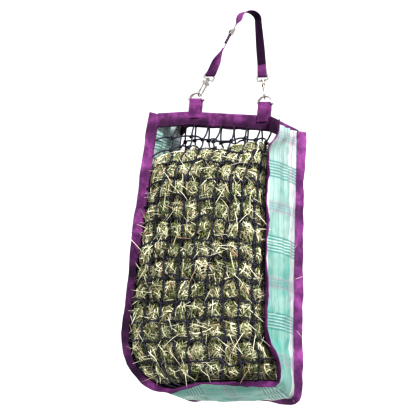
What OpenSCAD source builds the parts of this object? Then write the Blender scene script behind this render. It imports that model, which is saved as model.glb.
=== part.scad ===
// Slow-feed hay bag: two knotted net panels joined by plaid mesh gussets with bound, outward seams.
// The mouth is pinched shut where its four D-rings hang in two snaps on an adjustable webbing strap.
// Origin: the underside of the strap where it hangs. +Z is up, and the front panel faces -Y.

/* [Bag] */
// Height of a net panel, from the top band to the bottom seam
bag_h = 735; // [650:1:850]
// Width of a net panel at the mouth, seam to seam
mouth_w = 360; // [330:5:400]
// Width of a net panel at the bottom, before its rounded corners
bottom_w = 432; // [400:2:460]
// Width of the gussets, seam to seam
gusset_w = 180; // [160:2:200]
// How far a filled net stands out beyond its seams
belly = 22; // [10:1:30]
// How far a filled gusset stands out beyond its seams
gusset_belly = 14; // [6:1:20]
// Radius of the panels' left bottom corners, which the hay rounds out
left_corner_r = 148; // [120:2:160]
// Radius of the panels' right bottom corners
right_corner_r = 14; // [10:1:30]
// How far the bottom of the bag lies right of its mouth
drift = 16; // [0:1:20]
// How far the front right seam is drawn in between its corners
drawn_in = 26; // [0:1:28]
// How far the front right seam's bottom corner kicks out
kick = 9; // [0:1:12]
// How much lower the front panel's left bottom corner hangs than its right one
bottom_skew = 42; // [20:2:50]
// How much lower the back panel's left bottom corner hangs than its right one
back_skew = 20; // [0:2:50]
// How much lower the back bottom seam hangs than the front one
bottom_tilt = 25; // [10:1:30]
// How far the middle of the bottom gusset sags
bottom_sag = 26; // [8:1:30]

/* [Net] */
// Cells across a net panel
mesh_columns = 9; // [7:1:10]
// Cells down a net panel
mesh_rows = 14; // [10:1:15]
// How far the upper crossings are drawn up towards the band, in cells
row_rise = 0.7; // [0:0.05:0.9]
// Thickness of the net's cord
cord_d = 4.2; // [3.4:0.2:4.4]

/* [Cloth] */
// Thickness of the plaid mesh cloth
cloth_t = 1.6; // [1:0.2:2]
// Height of the top bands
band_h = 42; // [36:1:46]
// Thickness of a top band, folded over the net's edge
band_t = 4; // [3.6:0.1:4.2]
// Width of the bound seams
binding_w = 28; // [22:1:32]
// Thickness of the bound seams
binding_t = 3; // [2:0.5:4]

/* [Hay] */
// How far down the panels the hay's top lies, as a share of their height
hay_top = 0.11; // [0.08:0.01:0.2]
// Gap between the hay and the cloth around it
hay_gap = 7; // [5:1:10]

/* [Rings and tabs] */
// Distance between the left and right rings
ring_gap = 210; // [190:2:220]
// Height of the strap's hanging point above the rings' bars
ring_drop = 268; // [260:2:280]
// How much lower the right rings hang than the left ones
ring_skew = 12; // [0:1:16]
// How far the middle of the mouth sits left of the hanging point
mouth_offset = 33; // [20:1:40]
// Radius of a D-ring's arc, at the middle of its wire
ring_r = 21; // [20:0.5:22]
// Thickness of a D-ring's wire
ring_wire = 3.8; // [3.6:0.1:4]
// How far each ring leans towards its partner, in degrees
ring_lean = 7; // [6:0.5:8]
// Width of a ring tab
tab_w = 36; // [32:1:37]
// Length of a ring tab below its ring
tab_h = 56; // [44:1:60]
// Thickness of a tab's webbing
tab_t = 2; // [1.6:0.1:2.2]
// Distance of each band from the middle of the pinched mouth
pinch_y = 5; // [5:0.1:5.4]

/* [Strap] */
// Width of the strap's webbing
webbing_w = 25.4; // [24:0.1:26]
// Thickness of the strap's webbing
webbing_t = 2; // [1.6:0.1:2.2]
// Half the length of the strap's arc over what it hangs on
arc_x = 24; // [18:1:28]
// Half the depth of the strap's arc, front to back
arc_y = 14; // [10:1:18]
// Height of the strap's arc
arc_h = 24; // [18:1:28]
// Place of the slider down the left leg, as a share of its length
slider_at = 0.24; // [0.22:0.01:0.28]

/* [Snaps] */
// Radius of a hook's bend, at the middle of its wire
hook_r = 11.5; // [11:0.1:12]
// Thickness of a hook's wire
hook_wire = 4.6; // [4.4:0.1:5]
// Rest angle of the right hook on its swivel, in degrees
right_turn = 20; // [0:1:24]

/* [Hidden] */
$fn = 48;

FRONT = -1;
BACK = 1;
LEFT = -1;
RIGHT = 1;

purple = "#a85aa8";
plaid = "#cfe3df";
cord_black = "#24242c";
hay_green = "#9a9c68";
nickel = "#c9c9c6";

// ---- small helpers ----
function clamp01(x) = min(1, max(0, x));
function smooth(x) = let (c = clamp01(x)) c * c * (3 - 2 * c);
function mix(a, b, f) = a + (b - a) * f;
function unit(v) = v / norm(v);
function square_to(w, t) = unit(w - (w * t) * t);
function tangent(path, i) =
  unit(path[min(i + 1, len(path) - 1)] - path[max(i - 1, 0)]);

// A closed solid through a list of loops, each with the same number of points. A loop runs out
// along one face and back along the other, and both faces split their cells along the same diagonal.
module loft(loops, flip = false) {
  n = len(loops[0]);
  last = (len(loops) - 1) * n;
  sides = [
    for (i = [0:len(loops) - 2], k = [0:n - 1])
      [i * n + k, (i + 1) * n + k, (i + 1) * n + (k + 1) % n, i * n + (k + 1) % n]
  ];
  start_cap = [
    for (k = [0:floor(n / 2) - 2]) [k, k + 1, n - 2 - k, n - 1 - k]
  ];
  end_cap = [for (f = start_cap) [for (k = [3:-1:0]) last + f[k]]];
  quads = concat(sides, start_cap, end_cap);
  function other_face(i) = i < len(sides) && i % n >= n / 2;
  function halves(q, other) =
    other ? [[q[0], q[1], q[3]], [q[1], q[2], q[3]]] : [[q[0], q[1], q[2]], [q[0], q[2], q[3]]];
  faces = [
    for (i = [0:len(quads) - 1], half = halves(quads[i], other_face(i)))
      flip ? [half[2], half[1], half[0]] : half
  ];
  polyhedron([for (loop = loops, p = loop) p], faces);
}

// The four corners of a flat strip's section: w is its width direction, t the way it runs
function strip_loop(p, w, t, inner, outer, thick) =
  let (n = cross(t, w) * thick / 2)
    [p + w * outer + n, p + w * inner + n, p + w * inner - n, p + w * outer - n];

// ---- the mouth ----
tab_reach = ring_gap / 2 + ring_r;
band_below_ring = 36;
front_corner_drop = 32;
back_corner_drop = 12;
function mouth_ramp(x) = max(0, (abs(x) - tab_reach) / (mouth_w / 2 - tab_reach));
function mouth_y(x) = mix(pinch_y, gusset_w / 2, mouth_ramp(x));
function mouth_z(x, side) =
  -ring_drop - band_below_ring - ring_skew * x / ring_gap
  - (side < 0 ? front_corner_drop : back_corner_drop) * mouth_ramp(x);

// ---- the panels: u runs from the left seam to the right one, t from the mouth to the bottom ----
seam_in_band = 6;
bottom_z = -ring_drop - band_below_ring - band_h - bag_h;
pinch_reach = 0.28;
function corner_r(u) = u < 0 ? left_corner_r : right_corner_r;
function half_width(u, t) =
  let (r = corner_r(u), share = clamp01((t * bag_h - (bag_h - r)) / r))
    mix(mouth_w, bottom_w, t) / 2 - r * (1 - sqrt(1 - share * share));
function seam_shift(u, t, side) =
  drift * pow(clamp01(t), 2)
  + (side < 0 && u > 0
    ? pow(u, 3) * (kick * smooth((t - 0.86) / 0.1)
      - drawn_in * smooth(t / 0.07) * (1 - smooth((t - 0.82) / 0.12)))
    : 0);
function panel_top(u, side) = mouth_z(u * mouth_w / 2, side) - band_h + seam_in_band;
function panel_bottom(u, side) =
  bottom_z + (side < 0 ? bottom_skew : back_skew) * u / 2 - side * bottom_tilt / 2;
function panel(u, t, side) = [
  -mouth_offset + u * half_width(u, t) + seam_shift(u, t, side),
  side * mix(
    mouth_y(u * mouth_w / 2),
    gusset_w / 2 + belly * (1 - u * u) * (1 - 0.6 * pow(clamp01(t), 8)),
    smooth(t / pinch_reach)
  ),
  mix(panel_top(u, side), panel_bottom(u, side), t)
];

// Stations down a side seam, closer together round the bottom corner
seam_above = -0.045;
function seam_stations(top, hand) =
  let (corner_starts = 1 - corner_r(hand) / bag_h)
    concat(
      [top, 0.02, 0.06, 0.12],
      [for (i = [1:8]) mix(0.12, min(corner_starts, 0.96), i / 8)],
      [for (a = [20:20:80]) corner_starts + (1 - corner_starts) * sin(a)],
      [1]
    );
function seam_path(side, hand, top) = [for (t = seam_stations(top, hand)) panel(hand, t, side)];
function seam_out(path, i, hand) =
  let (t = tangent(path, i)) unit([-t[2], 0, t[0]]) * hand;

// ---- net panels ----
cord_r = 0.6 * cord_d;
function cord_loop(p, t, hint) =
  let (a = unit(cross(t, hint)) * cord_r, b = unit(cross(a, t)) * cord_r)
    [p + a, p - b, p - a, p + b];

module cord(path, hint) {
  loft([for (i = [0:len(path) - 1]) cord_loop(path[i], tangent(path, i), hint)]);
}

function crossing(c, r, side) =
  let (rise = row_rise * (1 - r / mesh_rows) * smooth(r / 3))
    panel(2 * c / mesh_columns - 1, (r - rise) / mesh_rows, side);

module net(side) {
  color(cord_black) union() {
    for (c = [1:mesh_columns - 1])
      cord([for (r = [0:mesh_rows]) crossing(c, r, side)], [0, 1, 0]);
    for (r = [1:mesh_rows - 1])
      cord([for (c = [0:mesh_columns]) crossing(c, r, side)], [0, 0, 1]);
  }
}

// ---- gussets ----
gusset_cells = 6;
mouth_slack = 5;
function gusset_point(front, back, v, out, bulge, t) =
  mix(front, back, (v + 1) / 2)
  + out * bulge * (1 - v * v)
  - [0, 0, mouth_slack * (1 - v * v) * (1 - smooth(t / 0.1))];

module side_gusset(hand) {
  stations = seam_stations(seam_above, hand);
  front = seam_path(FRONT, hand, seam_above);
  back = seam_path(BACK, hand, seam_above);
  loops = [
    for (i = [0:len(stations) - 1])
      let (
        t = stations[i],
        out = seam_out(front, i, hand),
        bulge = gusset_belly * smooth(t / pinch_reach) * (1 - smooth((t - 0.8) / 0.2)),
        mid = [
          for (k = [0:gusset_cells])
            gusset_point(front[i], back[i], 2 * k / gusset_cells - 1, out, bulge, t)
        ]
      )
        concat(
          [for (k = [0:gusset_cells]) mid[k] + out * cloth_t / 2],
          [for (k = [gusset_cells:-1:0]) mid[k] - out * cloth_t / 2]
        )
  ];
  color(plaid) loft(loops, hand == RIGHT);
}

module bottom_gusset() {
  down = [0, 0, -1];
  loops = [
    for (i = [0:8])
      let (
        u = i / 4 - 1,
        sag = bottom_sag * (1 - pow(u, 4)),
        mid = [
          for (k = [0:gusset_cells])
            gusset_point(panel(u, 1, FRONT), panel(u, 1, BACK), 2 * k / gusset_cells - 1, down, sag, 1)
        ]
      )
        concat(
          [for (k = [0:gusset_cells]) mid[k] + down * cloth_t / 2],
          [for (k = [gusset_cells:-1:0]) mid[k] - down * cloth_t / 2]
        )
  ];
  color(plaid) loft(loops, true);
}

// ---- bands and bound seams ----
module top_band(side) {
  half = mouth_w / 2;
  flare = mix(tab_reach, half, 0.5);
  inner = tab_reach / 2;
  xs = [-half, -flare, -tab_reach, -inner, 0, inner, tab_reach, flare, half];
  path = [for (x = xs) [x - mouth_offset, side * mouth_y(x), mouth_z(x, side)]];
  color(purple)
    loft([
      for (i = [0:len(xs) - 1])
        let (run = tangent(path, i), flat = unit([run[0], run[1], 0]))
          strip_loop(path[i], [0, 0, -1], flat, 0, band_h, band_t)
    ]);
}

seam_overlap = 3;
// The front right seam's flange stands further forward than the other three do
function flange_lean(side, hand) = side == FRONT && hand == RIGHT ? 1.9 : 1;
module side_binding(side, hand) {
  path = seam_path(side, hand, seam_above);
  lean = flange_lean(side, hand);
  color(purple)
    loft([
      for (i = [0:len(path) - 1])
        let (w = unit(seam_out(path, i, hand) + [0, side * lean, 0]))
          strip_loop(path[i], w, tangent(path, i), -seam_overlap, binding_w, binding_t)
    ]);
}

module bottom_binding(side) {
  path = [for (i = [0:8]) panel(i / 4 - 1, 1, side)];
  color(purple)
    loft([
      for (i = [0:8])
        strip_loop(
          path[i], square_to([0, 0.97 * side, -0.25], tangent(path, i)), tangent(path, i),
          -seam_overlap, binding_w, binding_t
        )
    ]);
}

// ---- hay ----
hay_levels = 20;
hay_sides = 12;
hay_bottom = 0.97;
seam_gap = 14;
module hay_fill() {
  loops = [
    for (i = [0:hay_levels])
      let (t = mix(hay_top, hay_bottom, i / hay_levels))
        [
          for (side = [FRONT, BACK], k = [0:hay_sides])
            let (u = -side * (2 * k / hay_sides - 1), inset = 1 - seam_gap / half_width(u, t))
              panel(u * inset, t, side) - [0, side * hay_gap, 0]
        ]
  ];
  color(hay_green) loft(loops, true);
}

// ---- rings and tabs ----
function ring_centre(hand) =
  [hand * ring_gap / 2 - mouth_offset, 0, -ring_drop - hand * ring_skew / 2];

module d_ring(side, hand) {
  bar = ring_r + 2;
  color(nickel)
    translate(ring_centre(hand) + [0, side * pinch_y, 0])
      rotate([side * ring_lean, 0, 0]) {
        rotate([90, 0, 0])
          rotate_extrude(angle = 180)
            translate([ring_r, 0]) circle(r = ring_wire / 2);
        rotate([0, 90, 0]) cylinder(r = ring_wire / 2, h = 2 * bar, center = true);
      }
}

tab_bend = ring_wire / 2 + 0.15;
module ring_tab(side, hand) {
  color(purple)
    translate(ring_centre(hand) + [0, side * pinch_y, 0])
      rotate([90, 0, 90])
        linear_extrude(tab_w, center = true)
          difference() {
            union() {
              circle(r = tab_bend + tab_t);
              translate([-tab_bend - tab_t, -tab_h]) square([2 * (tab_bend + tab_t), tab_h]);
            }
            circle(r = tab_bend);
            translate([-tab_bend, -tab_h - 1]) square([2 * tab_bend, tab_h + 1]);
          }
}

// ---- snaps: each stands on its own axis, from the middle of the hook's bend up along the strap ----
ring_top = ring_r * cos(ring_lean);
seat_depth = 5.2;
throat_h = 26;
shoulder_h = 9;
shoulder_t = 9.6;
collar_h = 6;
collar_gap = 0.4;
eye_in_w = 27;
eye_in_h = 10;
eye_bar = 4;
eye_t = 3.6;
post_r = 2.5;
eye_bottom = throat_h + shoulder_h + collar_gap + collar_h - 0.4;
eye_top_bar = eye_bottom + eye_bar * 1.5 + eye_in_h;

function arc_end(hand) = [hand * arc_x, hand * arc_y, -arc_h];
function leg_up(hand) =
  let (d = arc_end(hand) - ring_centre(hand)) unit([d[0], 0, d[2]]);
function leg_lean(hand) = let (n = leg_up(hand)) atan2(n[0], n[2]);
function bend_centre(hand) = ring_centre(hand) + leg_up(hand) * (ring_top + seat_depth);
function eye_centre(hand) = bend_centre(hand) + leg_up(hand) * eye_top_bar;

module on_leg(hand) {
  translate(bend_centre(hand)) rotate([0, leg_lean(hand), 0]) children();
}

function hook_turn(hand) = hand == RIGHT ? right_turn : 0;
module on_hook(hand) {
  on_leg(hand) rotate([0, 0, hook_turn(hand)]) children();
}

module rounded(w, h, r) {
  square([w - 2 * r, h], center = true);
  square([w, h - 2 * r], center = true);
  for (x = [-1, 1], y = [-1, 1])
    translate([x * (w / 2 - r), y * (h / 2 - r)]) circle(r = r);
}

module snap_eye(hand) {
  outer_w = eye_in_w + 2 * eye_bar;
  outer_h = eye_in_h + 2 * eye_bar;
  color(nickel)
    on_leg(hand)
      difference() {
        union() {
          translate([0, 0, eye_bottom + outer_h / 2])
            rotate([90, 0, 0])
              linear_extrude(eye_t, center = true)
                difference() {
                  rounded(outer_w, outer_h, 4);
                  rounded(eye_in_w, eye_in_h, 1.5);
                }
          translate([0, 0, eye_bottom + 0.4 - collar_h])
            cylinder(r = 5.5, h = collar_h + eye_bar - 0.4);
        }
        translate([0, 0, throat_h + shoulder_h]) cylinder(r = post_r + 0.1, h = 20);
      }
}

pin_r = 1.25;
pivot_z = throat_h + 4.4;
gate_slot = 6.8;
tip_h = 4;
module snap_hook(hand) {
  post_top = eye_bottom + eye_bar + 0.5;
  color(nickel)
    on_hook(hand) {
      rotate([90, 0, 90])
        rotate([0, 0, 180])
          rotate_extrude(angle = 180)
            translate([hook_r, 0]) circle(r = hook_wire / 2);
      translate([0, -hook_r, 0]) cylinder(r = hook_wire / 2, h = throat_h + 2);
      translate([0, hook_r, 0]) cylinder(r = hook_wire / 2, h = tip_h);
      difference() {
        translate([0, 0, throat_h + shoulder_h / 2])
          rotate([90, 0, 90])
            linear_extrude(shoulder_t, center = true) rounded(2 * hook_r + 8, shoulder_h, 3.5);
        translate([-gate_slot / 2, 4.5, throat_h - 1]) cube([gate_slot, 20, shoulder_h + 2]);
        translate([0, hook_r, pivot_z])
          rotate([0, 90, 0]) cylinder(r = pin_r, h = shoulder_t + 2, center = true);
      }
      translate([0, 0, throat_h + shoulder_h - 1]) cylinder(r = post_r, h = post_top - throat_h - shoulder_h + 1);
      translate([0, 0, post_top]) cylinder(r = 4, h = 2.4);
    }
}

gate_t = 4.2;
gate_r = 2.2;
module snap_gate(hand) {
  length = pivot_z - tip_h - 0.4;
  color(nickel)
    on_hook(hand)
      translate([-0.9, hook_r, pivot_z])
        rotate([90, 0, 90])
          linear_extrude(gate_t, center = true)
            difference() {
              union() {
                circle(r = 3.4);
                translate([-gate_r, -length]) square([2 * gate_r, length]);
                translate([1, -9]) square([4.6, 3.4]);
              }
              circle(r = pin_r + 0.1);
            }
}

module gate_pin(hand) {
  color(nickel)
    on_hook(hand)
      translate([0, hook_r, pivot_z])
        rotate([0, 90, 0]) cylinder(r = pin_r, h = shoulder_t, center = true);
}

spring_wire = 0.6;
module gate_spring(hand) {
  color("silver")
    on_hook(hand)
      translate([1.7, hook_r, pivot_z])
        rotate([0, 90, 0])
          for (i = [0:1])
            translate([0, 0, i * 0.8])
              rotate_extrude() translate([2, 0]) circle(r = spring_wire / 2);
}

// ---- strap: stations of [point, width direction], from the loose end behind the left leg ----
turn_r = 3.9;
layer_gap = 2.5;
return_top = 0.53;
sewn_top = 0.8;
leg_end = 0.97;
top_angle = -24;
slider_angle = -60;
left_eye_angle = -180;

// Compass angle of the webbing's width at a share f of each leg
function left_angle(f) =
  f < 0.12 ? mix(top_angle, slider_angle, smooth(f / 0.12))
  : mix(slider_angle, left_eye_angle, smooth((f - return_top) / (0.95 - return_top)));
function leg_angle(hand, f) = hand == LEFT ? left_angle(f) : mix(top_angle, 0, smooth(f / 0.6));
function compass(a) = [cos(a), sin(a), 0];

function leg_line(hand, f) = mix(arc_end(hand), eye_centre(hand) + [0, hand * turn_r, 0], f);
function layer_back(hand, f) = unit(cross(compass(leg_angle(hand, f)), leg_up(hand)));
function spread(f) = mix(layer_gap, 2 * turn_r, smooth((f - sewn_top) / (1 - sewn_top)));

function main_leg(hand, from, step, to) = [
  for (f = [from:step:to]) [leg_line(hand, f), compass(leg_angle(hand, f))]
];
function doubled_leg(hand, from, step, to) = [
  for (f = [from:step:to])
    [leg_line(hand, f) + layer_back(hand, f) * spread(f), compass(leg_angle(hand, f))]
];
function eye_turn(hand) = [
  for (a = [150:-30:30])
    [
      eye_centre(hand) + turn_r * (-cos(a) * [0, 1, 0] - sin(a) * leg_up(hand)),
      compass(leg_angle(hand, 1))
    ]
];
function strap_arc() = [
  for (a = [18:18:162])
    [
      [-arc_x * cos(a), -arc_y * cos(a), arc_h * (sin(a) - 1) + webbing_t / 2],
      compass(top_angle)
    ]
];

module hanging_strap() {
  step = (leg_end - return_top) / 9;
  sewn_step = (leg_end - sewn_top) / 3;
  stations = concat(
    doubled_leg(LEFT, return_top, step, leg_end + 0.001),
    eye_turn(LEFT),
    main_leg(LEFT, leg_end, -step, 0),
    strap_arc(),
    main_leg(RIGHT, 0.05, 0.115, leg_end + 0.001),
    eye_turn(RIGHT),
    doubled_leg(RIGHT, leg_end, -sewn_step, sewn_top - 0.001)
  );
  path = [for (s = stations) s[0]];
  color(purple)
    loft([
      for (i = [0:len(path) - 1])
        let (run = tangent(path, i))
          strip_loop(path[i], square_to(stations[i][1], run), run, -webbing_w / 2, webbing_w / 2, webbing_t)
    ]);
}

// ---- slider: outer bars in front of the strap, and a middle bar behind it in the loose end's loop ----
slider_bar_r = 1.7;
slider_h = 22;
slider_in_w = webbing_w + 1;
rail_w = 3.5;
front_bar_y = webbing_t / 2 + 0.3 + slider_bar_r;
loop_r = slider_bar_r + 0.2;
back_bar_y = webbing_t / 2 + 0.5 + webbing_t + loop_r;
loop_l = 38;

module on_slider() {
  z = unit(arc_end(LEFT) - eye_centre(LEFT) + [0, turn_r, 0]);
  x = square_to(compass(slider_angle), z);
  y = cross(z, x);
  p = leg_line(LEFT, slider_at);
  multmatrix([
    [x[0], y[0], z[0], p[0]],
    [x[1], y[1], z[1], p[1]],
    [x[2], y[2], z[2], p[2]],
    [0, 0, 0, 1]
  ])
    children();
}

module slider_bar(y, z) {
  translate([0, y, z])
    rotate([0, 90, 0]) cylinder(r = slider_bar_r, h = slider_in_w + 1, center = true);
}

module strap_slider() {
  front = front_bar_y + slider_bar_r;
  back = -back_bar_y - slider_bar_r;
  high = slider_h / 2;
  color(nickel)
    on_slider() {
      for (z = [-1, 1]) slider_bar(front_bar_y, z * (high - slider_bar_r));
      slider_bar(-back_bar_y, 0);
      for (x = [-1, 1])
        translate([x * (slider_in_w + rail_w) / 2, 0, 0])
          rotate([90, 0, 90])
            linear_extrude(rail_w, center = true)
              polygon([
                [front, -high], [front, high], [front - 4, high],
                [back, 2.4], [back, -2.4], [front - 4, -high]
              ]);
    }
}

module slider_loop() {
  near = -back_bar_y + loop_r;
  far = -back_bar_y - loop_r;
  color(purple)
    on_slider()
      rotate([90, 0, 90])
        linear_extrude(webbing_w - 0.6, center = true) {
          difference() {
            translate([-back_bar_y, 0]) circle(r = loop_r + webbing_t);
            translate([-back_bar_y, 0]) circle(r = loop_r);
            translate([far - 10, -20]) square([2 * loop_r + 20, 20]);
          }
          translate([near, -loop_l]) square([webbing_t, loop_l + 0.1]);
          polygon([
            [far, 0.1], [far - webbing_t, 0.1], [near - webbing_t, -14],
            [near - webbing_t, -loop_l], [near, -loop_l], [near, -13.5]
          ]);
        }
}

// ---- every node ----
for (side = [FRONT, BACK]) {
  face = side == FRONT ? "front" : "back";
  net(side);
  top_band(side);
  bottom_binding(side);
  for (hand = [LEFT, RIGHT]) {
    name = hand == LEFT ? "left" : "right";
    side_binding(side, hand);
    ring_tab(side, hand);
    d_ring(side, hand);
  }
}
for (hand = [LEFT, RIGHT]) {
  name = hand == LEFT ? "left" : "right";
  side_gusset(hand);
  snap_eye(hand);
  snap_hook(hand);
  snap_gate(hand);
  gate_pin(hand);
  gate_spring(hand);
}
bottom_gusset();
hay_fill();
hanging_strap();
strap_slider();
slider_loop();
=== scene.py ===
"""Slow-feed hay bag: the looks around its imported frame.

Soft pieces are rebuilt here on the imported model's own surfaces: knotted nets, hay, one plaid gusset
strip, bound seams, bands, tabs and the hanging strap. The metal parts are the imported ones, refinished.
Shape functions work in millimetres and meshes are scaled to metres where they are built.
"""

import math

import bmesh
import bpy
import numpy as np
from mathutils import Matrix, Vector, noise


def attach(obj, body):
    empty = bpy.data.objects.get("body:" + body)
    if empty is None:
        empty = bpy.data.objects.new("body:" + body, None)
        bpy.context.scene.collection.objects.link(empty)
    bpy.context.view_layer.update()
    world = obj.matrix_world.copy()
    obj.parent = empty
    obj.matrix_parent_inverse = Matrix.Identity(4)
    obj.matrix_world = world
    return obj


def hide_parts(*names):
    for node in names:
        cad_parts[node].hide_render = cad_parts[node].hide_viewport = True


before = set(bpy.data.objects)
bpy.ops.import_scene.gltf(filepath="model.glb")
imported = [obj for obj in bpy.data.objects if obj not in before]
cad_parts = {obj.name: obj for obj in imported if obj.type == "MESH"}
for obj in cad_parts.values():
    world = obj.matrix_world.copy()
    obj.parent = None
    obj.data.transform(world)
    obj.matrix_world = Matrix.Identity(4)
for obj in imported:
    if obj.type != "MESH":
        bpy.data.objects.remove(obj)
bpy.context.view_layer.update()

MM = 0.001
FRONT, BACK, LEFT, RIGHT = -1, 1, -1, 1
FACES = ((FRONT, "front"), (BACK, "back"))
HANDS = ((LEFT, "left"), (RIGHT, "right"))

# ---- sizes in millimetres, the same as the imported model's ----
BAG_H, MOUTH_W, BOTTOM_W, GUSSET_W, BELLY, GUSSET_BELLY = 735, 360, 432, 180, 22, 14
LEFT_CORNER_R, RIGHT_CORNER_R, DRIFT, DRAWN_IN, KICK = 148, 14, 16, 26, 9
BOTTOM_SKEW, BACK_SKEW, BOTTOM_TILT, BOTTOM_SAG = 42, 20, 25, 26
COLUMNS, ROWS, ROW_RISE, CORD_D = 9, 14, 0.7, 4.2
BAND_H, BAND_T, BINDING_W, BINDING_T, CLOTH_T = 42, 4, 28, 3, 1.6
RING_GAP, RING_DROP, RING_SKEW, MOUTH_OFFSET, RING_R, RING_WIRE = 210, 268, 12, 33, 21, 3.8
TAB_W, TAB_H, TAB_T, PINCH_Y = 36, 56, 2, 5
WEBBING_W, WEBBING_T, ARC_X, ARC_Y, ARC_H, SLIDER_AT = 25.4, 2, 24, 14, 24, 0.24
BAND_BELOW_RING, FRONT_CORNER_DROP, BACK_CORNER_DROP = 36, 32, 12
SEAM_IN_BAND, PINCH_REACH, SEAM_ABOVE, MOUTH_SLACK = 6, 0.28, -0.045, 5
TAB_REACH = RING_GAP / 2 + RING_R
BOTTOM_Z = -RING_DROP - BAND_BELOW_RING - BAND_H - BAG_H

# ---- what only the looks have: millimetres, then factors, counts and seeds ----
KNOT_R, KNOT_W, KNOT_H, KNOT_STEP = 2.05, 5.2, 3.8, 2.2
HAY_GAP, HAY_CORE_LIFT, STRAY_Y = 8.0, -3.0, 131.0
THREAD_R, SEAM_PITCH, TAB_PITCH, BAR_PITCH = 0.42, 5.2, 3.6, 3.2
SEWN_INSIDE, OUTLINE_PITCH, GUSSET_PITCH = 3.0, 7.0, 5.5
CORD_SWELL, FRONT_RIGHT_LEAN = 1.12, 1.9
HAY_TOP_SINK = 0.15  # in rows of the net
CORD_SIDES, CORD_STEPS, KNOT_SIDES, KNOT_POINTS, STEM_SIDES, HAY_LEVELS = 8, 8, 7, 11, 3, 76
STEM_SPLIT, STEMS_PER_CELL = 5, (80, 60)
SHIFT_SEED, BOW_SEED, TUFT_SEED = 31, 57, 77
# angles round a strip's rounded edge
EDGE_TURN = np.linspace(math.pi / 2, -math.pi / 2, 5)[1:-1]


# ---- shape functions ----
def clamp01(x):
    return np.clip(x, 0.0, 1.0)


def smooth(x):
    c = clamp01(x)
    return c * c * (3 - 2 * c)


def mix(a, b, f):
    return a + (b - a) * f


def unit(v):
    v = np.asarray(v, float)
    return v / np.maximum(np.linalg.norm(v, axis=-1, keepdims=True), 1e-9)


def square_to(w, t):
    return unit(w - (w * t).sum(-1, keepdims=True) * t)


def tangents(path):
    path = np.asarray(path, float)
    run = np.empty_like(path)
    run[..., 1:-1, :] = path[..., 2:, :] - path[..., :-2, :]
    run[..., 0, :] = path[..., 1, :] - path[..., 0, :]
    run[..., -1, :] = path[..., -1, :] - path[..., -2, :]
    return unit(run)


def mouth_ramp(x):
    return np.maximum(0, (np.abs(x) - TAB_REACH) / (MOUTH_W / 2 - TAB_REACH))


def mouth_y(x):
    return mix(PINCH_Y, GUSSET_W / 2, mouth_ramp(x))


def mouth_z(x, side):
    drop = FRONT_CORNER_DROP if side < 0 else BACK_CORNER_DROP
    return -RING_DROP - BAND_BELOW_RING - RING_SKEW * x / RING_GAP - drop * mouth_ramp(x)


def half_width(u, t):
    r = np.where(u < 0, LEFT_CORNER_R, RIGHT_CORNER_R)
    share = clamp01((t * BAG_H - (BAG_H - r)) / r)
    return mix(MOUTH_W, BOTTOM_W, t) / 2 - r * (1 - np.sqrt(1 - share * share))


def seam_shift(u, t, side):
    """How far the seams drift sideways. The front right one is also drawn in, then kicked out low down."""
    shift = DRIFT * clamp01(t) ** 2
    if side < 0:
        pull = DRAWN_IN * smooth(t / 0.07) * (1 - smooth((t - 0.82) / 0.12))
        shift = shift + np.maximum(u, 0) ** 3 * (KICK * smooth((t - 0.86) / 0.1) - pull)
    return shift


def panel(u, t, side):
    """A point of a net panel: u runs from the left seam to the right one, t from the mouth down."""
    u, t = np.broadcast_arrays(np.asarray(u, float), np.asarray(t, float))
    x_mouth = u * MOUTH_W / 2
    top = mouth_z(x_mouth, side) - BAND_H + SEAM_IN_BAND
    skew = BOTTOM_SKEW if side < 0 else BACK_SKEW
    bottom = BOTTOM_Z + skew * u / 2 - side * BOTTOM_TILT / 2
    filled = GUSSET_W / 2 + BELLY * (1 - u * u) * (1 - 0.6 * clamp01(t) ** 8)
    return np.stack(
        [
            -MOUTH_OFFSET + u * half_width(u, t) + seam_shift(u, t, side),
            side * mix(mouth_y(x_mouth), filled, smooth(t / PINCH_REACH)),
            mix(top, bottom, t),
        ],
        -1,
    )


def panel_out(u, t, side):
    """The panel's outward normal."""
    e = 1e-3
    across = panel(u + e, t, side) - panel(u - e, t, side)
    down = panel(u, np.minimum(t + e, 1), side) - panel(u, t - e, side)
    n = unit(np.cross(across, down))
    return n * np.sign((n[..., 1] * side))[..., None]


def panel_frame(u, t, side):
    """Unit vectors across the panel, down it and out of it."""
    e, out = 0.01, panel_out(u, t, side)
    across = unit(panel(u + e, t, side) - panel(u - e, t, side))
    return across, np.cross(out, across), out


def wander(length, step, seed, size=1.0):
    """Smooth seeded noise along a line, one value for each of its points."""
    line = [noise.noise(Vector((i * step, seed * 7.31, 0.5))) for i in range(length)]
    return np.array(line) * 2 * size


def run_length(path):
    """The length along a path at each of its points."""
    return np.concatenate([[0], np.cumsum(np.linalg.norm(np.diff(path, axis=0), axis=1))])


def resample(at, length, line):
    """Places along a line, given its own running length."""
    return np.stack([np.interp(at, length, line[:, i]) for i in range(3)], -1)


def relax(line, times):
    """Smooths a line's inner points in place."""
    for _ in range(times):
        line[1:-1] = line[1:-1] * 0.5 + (line[:-2] + line[2:]) * 0.25


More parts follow.
